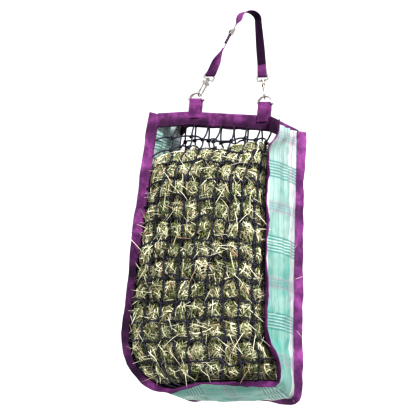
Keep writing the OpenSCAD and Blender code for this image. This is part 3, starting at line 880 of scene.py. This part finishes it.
def stitches(path, normal, pitch=SEAM_PITCH):
    """A row of thread stitches along a path, standing just proud of the cloth."""
    length = run_length(path)
    at = np.arange(pitch / 2, length[-1] - pitch, pitch)
    ends = at[:, None] + np.array([0, 0.36, 0.72])[None] * pitch
    up = unit(resample(ends, length, np.broadcast_to(normal, path.shape)))
    line = resample(ends, length, path) + up * np.array([-0.25, 0.25, -0.25])[None, :, None]
    return tubes(line, np.array([0.6, 1.0, 0.6])[None] * THREAD_R, 5, lean=up)


def sew(name, rows, body="bag"):
    points, faces = join(rows)
    build(name, points, faces, THREAD, body=body, repair=False)


def soften(values, reach):
    """A running mean over reach places each way, with the ends held."""
    padded = np.pad(values, reach, mode="edge")
    return np.convolve(padded, np.ones(2 * reach + 1) / (2 * reach + 1), mode="valid")


def make_binding(side, face):
    path, hand, at = outline(side, OUTLINE_PITCH)
    n = len(path)
    turn = soften(hand, 17)
    under = smooth(1 - np.abs(turn))
    forward = mix(1.0, FRONT_RIGHT_LEAN if side < 0 else 1.0, clamp01(turn))
    upright = outline_out(path) + np.array([0, side, 0]) * forward[:, None]
    lean = unit(mix(upright, 1.4 * np.array([0, 0.97 * side, -0.25]), under[:, None]))
    tip = np.where(hand < 0, wander(n, 0.085, 3 + side, 0.16), wander(n, 0.085, 5 + side, 0.13))
    lean = unit(lean + np.cross(tangents(path), lean) * tip[:, None])
    section = rounded_strip(-SEWN_INSIDE, BINDING_W, BINDING_T, 0.45, 4.0)
    sections = np.repeat(section[None], n, 0)
    reach = clamp01((section[:, 0] + SEWN_INSIDE) / (BINDING_W + SEWN_INSIDE))
    ripple = wander(n, 0.23, 9 + side, 1.3) + wander(n, 0.6, 12 + side, 0.5)
    sections[:, :, 1] += ripple[:, None] * reach[None, :] * 1.4
    down_left = clamp01(-turn) * smooth((at / at[-1] - 0.17) / 0.08)
    rolled = 1 - 0.2 * down_left
    edge_wave = wander(n, 0.15, 21 + side, 0.9)[:, None] * reach[None, :]
    sections[:, :, 0] = sections[:, :, 0] * rolled[:, None] + edge_wave
    creases = np.clip(wander(n, 0.42, 33 + side, 1.0) - 0.35, 0, 1)
    sections[:, :, 1] *= 1 + 0.5 * creases[:, None]
    loops = sweep(path, lean, sections)
    # Painted shade: the tint darkens the binding down its lower left, which the bulging hay shades, and along
    # the bottom, which faces down. Random stains add to it.
    stain = np.clip(wander(n, 0.2, 61 + side, 0.5), 0, 0.4)
    shade = clamp01(0.72 * np.maximum(down_left, 0.75 * under) + stain)
    binding = build_strip(
        f"{face}_seam_binding", loops, loft_faces(n, len(section)), BINDING, section, at,
        tint=np.repeat(shade, len(section)),
    )
    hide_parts(*(f"{face}_binding_{part}" for part in ("left", "right", "bottom")))
    rows = []
    for row in (2, len(section) - 3):
        edge = loops[:, row]
        rows.append(stitches(edge, unit(edge - loops[:, len(section) - 1 - row])))
    sew(f"{face}_binding_stitches", rows)


# ---- the gusset strip: down the left side, under the bottom and up the right side ----
def make_gusset():
    front, hand, at = outline(FRONT, GUSSET_PITCH)
    back, _, back_at = outline(BACK, GUSSET_PITCH)
    share = at / at[-1]
    back = resample(share, back_at / back_at[-1], back)
    middle = (front + back) / 2
    out = outline_out(middle)
    n, m = len(front), 29
    v = np.linspace(-1, 1, m)
    end = np.minimum(share, 1 - share) * at[-1]
    low = 1 - np.abs(soften(hand, 16))
    low_end = smooth((end - 0.8 * BAG_H) / (0.2 * BAG_H))
    side_bulge = GUSSET_BELLY * smooth(end / (PINCH_REACH * BAG_H)) * (1 - low_end)
    bulge = np.maximum(side_bulge, BOTTOM_SAG * low)
    slack = MOUTH_SLACK * (1 - smooth(end / (0.1 * BAG_H)))
    grid = mix(front[:, None], back[:, None], ((v + 1) / 2)[None, :, None])
    crown = (1 - v * v)[None, :]
    grid = grid + out[:, None] * (bulge[:, None] * crown)[..., None]
    grid[..., 2] -= slack[:, None] * crown
    folds = np.zeros((n, m))
    for i in range(n):
        for k in range(m):
            x, y = at[i] * 0.011, v[k] * 1.1
            long_fold = noise.noise(Vector((x * 0.45, y * 2.6, 4.0)))
            slant = noise.noise(Vector((x * 1.3 + y * 0.9, y * 1.4 - x * 0.5, 9.0)))
            fine = noise.noise(Vector((x * 3.4, y * 3.0, 1.5)))
            folds[i, k] = 7.0 * long_fold + 9.0 * (0.5 - abs(slant)) + 2.6 * fine
    gather = 5.0 * np.sin(v * 13.0 + 0.6)[None, :] * np.exp(-end / 85)[:, None]
    folds = (folds - 4.0) * np.sqrt(crown) + gather * crown
    grid = grid + out[:, None] * folds[..., None]
    half = CLOTH_T / 2 * 0.8
    outer, inner = grid + out[:, None] * half, grid - out[:, None] * half
    loops = np.concatenate([outer, inner[:, ::-1]], 1)
    across = (v + 1) / 2 * GUSSET_W * MM
    uv = grid_uv(np.concatenate([across, across[::-1]]), at * MM)
    gusset = build("plaid_gusset", loops, loft_faces(n, 2 * m), PLAID, uv=uv)
    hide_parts("left_gusset", "right_gusset", "bottom_gusset")


# ---- the top bands and ring tabs ----
def make_band(side, face):
    x = np.linspace(-MOUTH_W / 2, MOUTH_W / 2, 73)
    path = np.stack([x - MOUTH_OFFSET, side * mouth_y(x), mouth_z(x, side)], -1)
    relax(path, 5)
    n = len(path)
    run = tangents(path)
    free = smooth((np.abs(x) - TAB_REACH) / 30)
    flat_run = unit(np.stack([run[:, 0], run[:, 1], 0 * run[:, 0]], -1))
    down = np.array([0, 0, -1.0])
    out = np.cross(down, flat_run)
    out = out * np.sign(out[:, 1] * side)[:, None]
    section = rounded_strip(0.0, BAND_H, BAND_T, 0.3, 34.0)
    flip = section * np.array([-1, 1]) + np.array([BAND_H, 0])
    wave_low = wander(n, 0.11, 41 + side, 1.9) + wander(n, 0.3, 44 + side, 0.8)
    reach = flip[:, 0] / BAND_H
    loops = (
        path[:, None]
        + down * flip[None, :, :1]
        + out[:, None] * flip[None, :, 1:]
        + out[:, None] * (reach[None, :] * (wave_low * mix(0.55, 1.0, free))[:, None])[..., None]
    )
    loops[..., 2] += wander(n, 0.16, 47 + side, 1.2)[:, None] * reach[None, :]
    # Painted shade: patches of the band, strongest towards its lower edge, are darkened through the tint as
    # the shade of its folds and of cast shadows.
    folds = smooth((wander(n, 0.13, 51 + side, 0.9) + 0.16) / 0.14)[:, None] * smooth(reach * 1.6 - 0.2)
    band = build_strip(
        f"{face}_mouth_band", loops, loft_faces(n, len(section)), WEBBING, section, run_length(path),
        tint=0.85 * folds,
    )
    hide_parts(f"{face}_top_band")
    rows = []
    last = len(section) - 1
    for row in (1, last - 1, 7, last - 7):
        edge = loops[:, row]
        up = unit(edge - loops[:, last - row])
        rows.append(stitches(edge[1:-1], up[1:-1]))
    sew(f"{face}_band_stitches", rows)


def ring_centre(hand):
    return np.array([hand * RING_GAP / 2 - MOUTH_OFFSET, 0, -RING_DROP - hand * RING_SKEW / 2])


def webbing_section(width, thick):
    """Flat webbing with rounded edges and a slightly thinner line beside each of them."""
    half, edge = width / 2, thick / 2
    across = np.linspace(-half + edge, half - edge, 9)
    rise = edge * (1 - 0.1 * np.exp(-(((np.abs(across) - half + 4) / 1.5) ** 2)))
    nose = np.stack([edge * np.cos(EDGE_TURN), edge * np.sin(EDGE_TURN)], -1)
    middle = np.array([half - edge, 0])
    top, bottom = np.stack([across, rise], -1), np.stack([across, -rise], -1)
    return np.concatenate([top, nose + middle, bottom[::-1], -nose - middle])


def build_webbing(name, path, width, section, body="bag", tint=None):
    """Webbing carried along a path. Its width has one direction, or one at each point."""
    loops, faces = sweep(path, width, section), ring_loft(len(path), len(section))
    return build_strip(name, loops, faces, WEBBING, section, run_length(path), body, tint)


def make_tab(side, face, hand, name):
    """A webbing tab folded over the ring's bar and sewn down on the band."""
    sink, thread_rows = 0.35, (-8.5, -20, -31)
    centre = ring_centre(hand) + np.array([0, side * PINCH_Y, 0])
    r = RING_WIRE / 2 + 0.15 + TAB_T / 2
    down = np.linspace(-TAB_H, -1, 16)
    dent = sink * np.exp(-(((down - thread_rows[0]) / 1.6) ** 2))
    dent = dent + 0.3 * np.exp(-(((down - thread_rows[1]) / 1.5) ** 2))
    front_leg = np.stack([0 * down, -(r - dent), down], -1)
    turn = np.linspace(math.pi, 0, 11)
    bend = np.stack([0 * turn, r * np.cos(turn), r * np.sin(turn)], -1)
    back_leg = (front_leg * (1, -1, 1))[::-1]
    path = np.concatenate([front_leg, bend, back_leg])
    path[:, 0] += 0.3 * np.sin(path[:, 2] * 0.3)
    section = webbing_section(TAB_W, TAB_T)
    tab = build_webbing(f"ring_tab_webbing_{face}_{name}", path + centre, (1.0, 0, 0), section)
    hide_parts(f"ring_tab_{face}_{name}")
    rows = []
    x = np.linspace(-TAB_W / 2 + 2.5, TAB_W / 2 - 2.5, 12)
    for y_sign in (-1, 1):
        for z in thread_rows:
            y = y_sign * (r + TAB_T / 2 - (0 if z == thread_rows[-1] else sink))
            line = np.stack([x, 0 * x + y, 0 * x + z], -1) + centre
            rows.append(stitches(line, (0.0, y_sign, 0), TAB_PITCH))
    sew(f"ring_tab_stitches_{face}_{name}", rows)


# ---- the hanging strap ----
TURN_R, LAYER_GAP, RETURN_TOP, SEWN_TOP, LEG_END = 3.9, 2.5, 0.53, 0.8, 0.97
TOP_ANGLE, SLIDER_ANGLE, LEFT_EYE_ANGLE = -24, -60, -180
RING_LEAN, SEAT_DEPTH, EYE_TOP_BAR = math.radians(7), 5.2, 57.0


def arc_end(hand):
    return np.array([hand * ARC_X, hand * ARC_Y, -ARC_H], float)


def leg_up(hand):
    d = arc_end(hand) - ring_centre(hand)
    return unit([d[0], 0, d[2]])


def eye_centre(hand):
    return ring_centre(hand) + leg_up(hand) * (RING_R * math.cos(RING_LEAN) + SEAT_DEPTH + EYE_TOP_BAR)


def compass(degrees):
    a = math.radians(degrees)
    return np.array([math.cos(a), math.sin(a), 0])


def leg_angle(hand, f):
    if hand == RIGHT:
        return mix(TOP_ANGLE, 0, smooth(f / 0.6))
    if f < 0.12:
        return mix(TOP_ANGLE, SLIDER_ANGLE, smooth(f / 0.12))
    return mix(SLIDER_ANGLE, LEFT_EYE_ANGLE, smooth((f - RETURN_TOP) / (0.95 - RETURN_TOP)))


def leg_line(hand, f):
    return mix(arc_end(hand), eye_centre(hand) + np.array([0, hand * TURN_R, 0]), f)


def layer_back(hand, f):
    return unit(np.cross(compass(leg_angle(hand, f)), leg_up(hand)))


def spread(f):
    return mix(LAYER_GAP, 2 * TURN_R, smooth((f - SEWN_TOP) / (1 - SEWN_TOP)))


def bar_line(margin=2):
    """Places across the webbing for one row of stitches."""
    return np.linspace(-WEBBING_W / 2 + margin, WEBBING_W / 2 - margin, 9)


def make_strap():
    """One length of webbing: down to and round the left eye, over the top, down to and round the right."""
    stations = []

    # inner_darkening: how dark the strap's inner face is at each station. It is 0.25 on the left leg and 1
    # over the top and down the right leg, where the extra darkness is painted shade.
    def add(point, angle, inner_darkening=0.25):
        stations.append((point, compass(angle), inner_darkening))

    def add_return(hand, shares):
        for f in shares:
            add(leg_line(hand, f) + layer_back(hand, f) * spread(f), leg_angle(hand, f))

    def add_eye_turn(hand):
        for a in np.radians(np.arange(165, 14, -15)):
            turn = -math.cos(a) * np.array([0, 1, 0]) - math.sin(a) * leg_up(hand)
            add(eye_centre(hand) + TURN_R * turn, leg_angle(hand, 1))

    add_return(LEFT, np.linspace(RETURN_TOP, LEG_END, 28))
    add_eye_turn(LEFT)
    for f in np.linspace(LEG_END, 0, 60):
        add(leg_line(LEFT, f), leg_angle(LEFT, f))
    for a in np.radians(np.arange(10, 171, 8)):
        across, rise = -math.cos(a), ARC_H * (math.sin(a) - 1) + WEBBING_T / 2
        add(np.array([ARC_X * across, ARC_Y * across, rise]), TOP_ANGLE, 1.0)
    for f in np.linspace(0.03, LEG_END, 55):
        add(leg_line(RIGHT, f), leg_angle(RIGHT, f), 1.0)
    add_eye_turn(RIGHT)
    add_return(RIGHT, np.linspace(LEG_END, SEWN_TOP, 14))
    path, width, inner_darkening = (np.array(column) for column in zip(*stations))
    section = webbing_section(WEBBING_W, WEBBING_T)
    # The inner face is darker than the outer one. Over the top and down the right leg it is deepened further
    # as painted shade.
    face_tint = smooth(section[:, 1] / WEBBING_T + 0.5)
    tint = inner_darkening[:, None] * face_tint[None]
    strap = build_webbing("strap_webbing", path, width, section, body="strap", tint=tint)
    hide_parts("hanging_strap")
    # the sewn end of each leg is closed by stitched rows across both layers
    rows = []
    for hand, shares in ((RIGHT, (0.82, 0.845, 0.885, 0.91)), (LEFT, (0.555, 0.6))):
        for f in shares:
            back = layer_back(hand, f)
            w = square_to(compass(leg_angle(hand, f)), leg_up(hand))
            for sign, base in ((1, spread(f) + WEBBING_T / 2), (-1, -WEBBING_T / 2)):
                line = leg_line(hand, f) + back * base + w[None] * bar_line()[:, None]
                rows.append(stitches(line, back * sign, BAR_PITCH))
    sew("strap_stitches", rows, body="strap")


def make_slider_loop():
    """The short loop that holds the slider's middle bar, sewn to itself behind the strap."""
    bar, play, loop_l, lap = 1.7, 0.2, 38.0, 0.15
    back_bar = WEBBING_T / 2 + 0.5 + WEBBING_T + bar + play
    z = unit(arc_end(LEFT) - eye_centre(LEFT) + np.array([0, TURN_R, 0]))
    x = square_to(compass(SLIDER_ANGLE), z)
    y = np.cross(z, x)
    origin = leg_line(LEFT, SLIDER_AT)
    r = bar + play + WEBBING_T / 2
    near, far = -back_bar + r, -back_bar - r
    turn = np.linspace(0, math.pi, 11)
    rise = np.linspace(-loop_l, -0.5, 15)
    first = np.stack([near + 0 * rise, rise], -1)
    over = np.stack([-back_bar + r * np.cos(turn), r * np.sin(turn)], -1)
    fall = np.linspace(-0.5, -loop_l, 15)
    held = smooth((-fall - 0.5) / 13)
    second = np.stack([mix(far, near - WEBBING_T - lap, held), fall], -1)
    flat = np.concatenate([first, over, second])
    path = origin + y[None] * flat[:, :1] + z[None] * flat[:, 1:]
    section = webbing_section(WEBBING_W - 0.6, WEBBING_T)
    loop = build_webbing("slider_loop_webbing", path, x, section, body="slider")
    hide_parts("slider_loop")
    rows = []
    for drop in (-16, -20, -33):
        base = near - 1.5 * WEBBING_T - lap
        line = origin + x[None] * bar_line()[:, None] + y[None] * base + z[None] * drop
        rows.append(stitches(line, -y, BAR_PITCH))
    sew("slider_loop_stitches", rows, body="slider")


def finish_metal():
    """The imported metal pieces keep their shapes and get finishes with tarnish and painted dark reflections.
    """
    for prefix, finish in (("d_ring", NICKEL), ("snap_", NICKEL), ("strap_slider", NICKEL), ("gate_", STEEL)):
        for name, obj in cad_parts.items():
            if name.startswith(prefix):
                obj.data.materials.clear()
                obj.data.materials.append(finish)


set_camera()
set_stage()
finish_metal()
for side, face in FACES:
    make_net(side, face)
    make_binding(side, face)
    make_band(side, face)
    for hand, name in HANDS:
        make_tab(side, face, hand, name)
make_gusset()
make_hay_core()
for (side, face), per_cell, seed in zip(FACES, STEMS_PER_CELL, (101, 103)):
    make_stems(f"{face}_hay_stems_left", side, per_cell, 0, STEM_SPLIT, seed)
    make_stems(f"{face}_hay_stems_right", side, per_cell, STEM_SPLIT, COLUMNS, seed + 1)
make_stray_stems("front_stray_stems", FRONT, 520, 105)
make_stray_stems("back_stray_stems", BACK, 380, 106)
make_top_stems(900, 107)
make_strap()
make_slider_loop()
